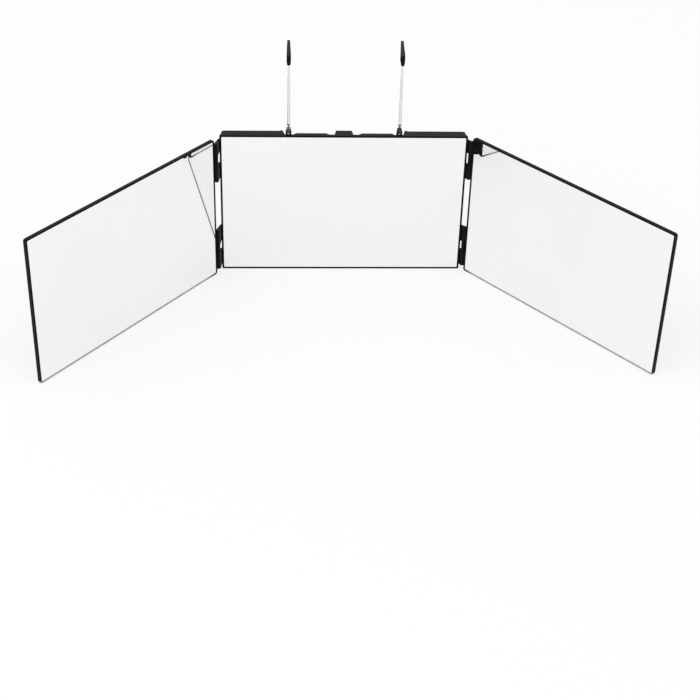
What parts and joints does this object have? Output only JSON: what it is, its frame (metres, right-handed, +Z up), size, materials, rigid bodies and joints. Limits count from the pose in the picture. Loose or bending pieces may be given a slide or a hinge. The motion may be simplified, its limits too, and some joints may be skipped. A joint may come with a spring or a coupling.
{
  "type": "trifold mirror",
  "caption": "Three-panel vanity mirror in black plastic frames, with hinged wings and telescopic rods whose hooks hang it from the top of a door.",
  "frame": {"origin": "middle of the centre frame's bottom edge, where it stands", "axes": "+X to the viewer's right, +Y to the back, +Z up; the mirrors face -Y"},
  "size_m": [0.6645, 0.2815, 0.2746],
  "materials": {
    "black_plastic": "satin",
    "mirror": "polished",
    "chrome": "polished",
    "steel": "satin",
    "bronze": "satin",
    "rubber": "matte",
    "tape": "matte"
  },
  "bodies": {
    "centre": {"centre_frame": "black_plastic", "centre_mirror": "mirror", "centre_tape": "tape", "back_housing": "black_plastic", "housing_screws": "steel", "bay_block": "black_plastic", "left_bay_lip": "black_plastic", "right_bay_lip": "black_plastic", "left_lower_hinge_pin": "steel", "left_upper_hinge_pin": "steel", "left_rod_bracket": "black_plastic", "left_pivot_pin": "steel", "left_pivot_washers": "steel", "right_lower_hinge_pin": "steel", "right_upper_hinge_pin": "steel", "right_rod_bracket": "black_plastic", "right_pivot_pin": "steel", "right_pivot_washers": "steel"},
    "left_wing": {"left_wing_frame": "black_plastic", "left_wing_mirror": "mirror", "left_wing_tape": "tape"},
    "right_wing": {"right_wing_frame": "black_plastic", "right_wing_mirror": "mirror", "right_wing_tape": "tape"},
    "left_rod": {"left_rod_foot": "chrome", "left_outer_tube": "chrome"},
    "left_second": {"left_second_tube": "chrome", "left_second_tube_bush": "bronze"},
    "left_inner": {"left_inner_rod": "chrome", "left_inner_rod_bush": "bronze", "left_hook_collar": "chrome"},
    "left_hook": {"left_door_hook": "black_plastic", "left_hook_plug": "black_plastic", "left_hook_pad": "rubber"},
    "right_rod": {"right_rod_foot": "chrome", "right_outer_tube": "chrome"},
    "right_second": {"right_second_tube": "chrome", "right_second_tube_bush": "bronze"},
    "right_inner": {"right_inner_rod": "chrome", "right_inner_rod_bush": "bronze", "right_hook_collar": "chrome"},
    "right_hook": {"right_door_hook": "black_plastic", "right_hook_plug": "black_plastic", "right_hook_pad": "rubber"}
  },
  "joints": [
    {"name": "left_wing_hinge", "type": "hinge", "parent": "centre", "child": "left_wing", "pos_m": [-0.1456, -0.01115, 0.089], "axis": [0, 0, 1], "range_deg": [-51, 129]},
    {"name": "right_wing_hinge", "type": "hinge", "parent": "centre", "child": "right_wing", "pos_m": [0.1456, -0.00285, 0.089], "axis": [0, 0, -1], "range_deg": [-49.5, 130.5]},
    {"name": "left_rod_swing", "type": "hinge", "parent": "centre", "child": "left_rod", "pos_m": [-0.0634, 0.00535, 0.18], "axis": [1, 0, 0], "range_deg": [-180, 0]},
    {"name": "left_second_slide", "type": "slide", "parent": "left_rod", "child": "left_second", "axis": [0, 0, 1], "range_m": [0, 0.0445]},
    {"name": "left_inner_slide", "type": "slide", "parent": "left_second", "child": "left_inner", "axis": [0, 0, 1], "range_m": [0, 0.055]},
    {"name": "left_hook_swivel", "type": "hinge", "parent": "left_inner", "child": "left_hook", "pos_m": [-0.0634, 0.00535, 0.268], "axis": [0, 0, 1], "range_deg": [-90, 0]},
    {"name": "right_rod_swing", "type": "hinge", "parent": "centre", "child": "right_rod", "pos_m": [0.0634, 0.00535, 0.18], "axis": [1, 0, 0], "range_deg": [-180, 0]},
    {"name": "right_second_slide", "type": "slide", "parent": "right_rod", "child": "right_second", "axis": [0, 0, 1], "range_m": [0, 0.0445]},
    {"name": "right_inner_slide", "type": "slide", "parent": "right_second", "child": "right_inner", "axis": [0, 0, 1], "range_m": [0, 0.055]},
    {"name": "right_hook_swivel", "type": "hinge", "parent": "right_inner", "child": "right_hook", "pos_m": [0.0634, 0.00535, 0.268], "axis": [0, 0, 1], "range_deg": [0, 92.7]}
  ],
  "couplings": [
    {"joint": "left_hook_swivel", "follows": "left_rod_swing", "ratio": 0.5},
    {"joint": "right_hook_swivel", "follows": "right_rod_swing", "ratio": -0.515}
  ]
}
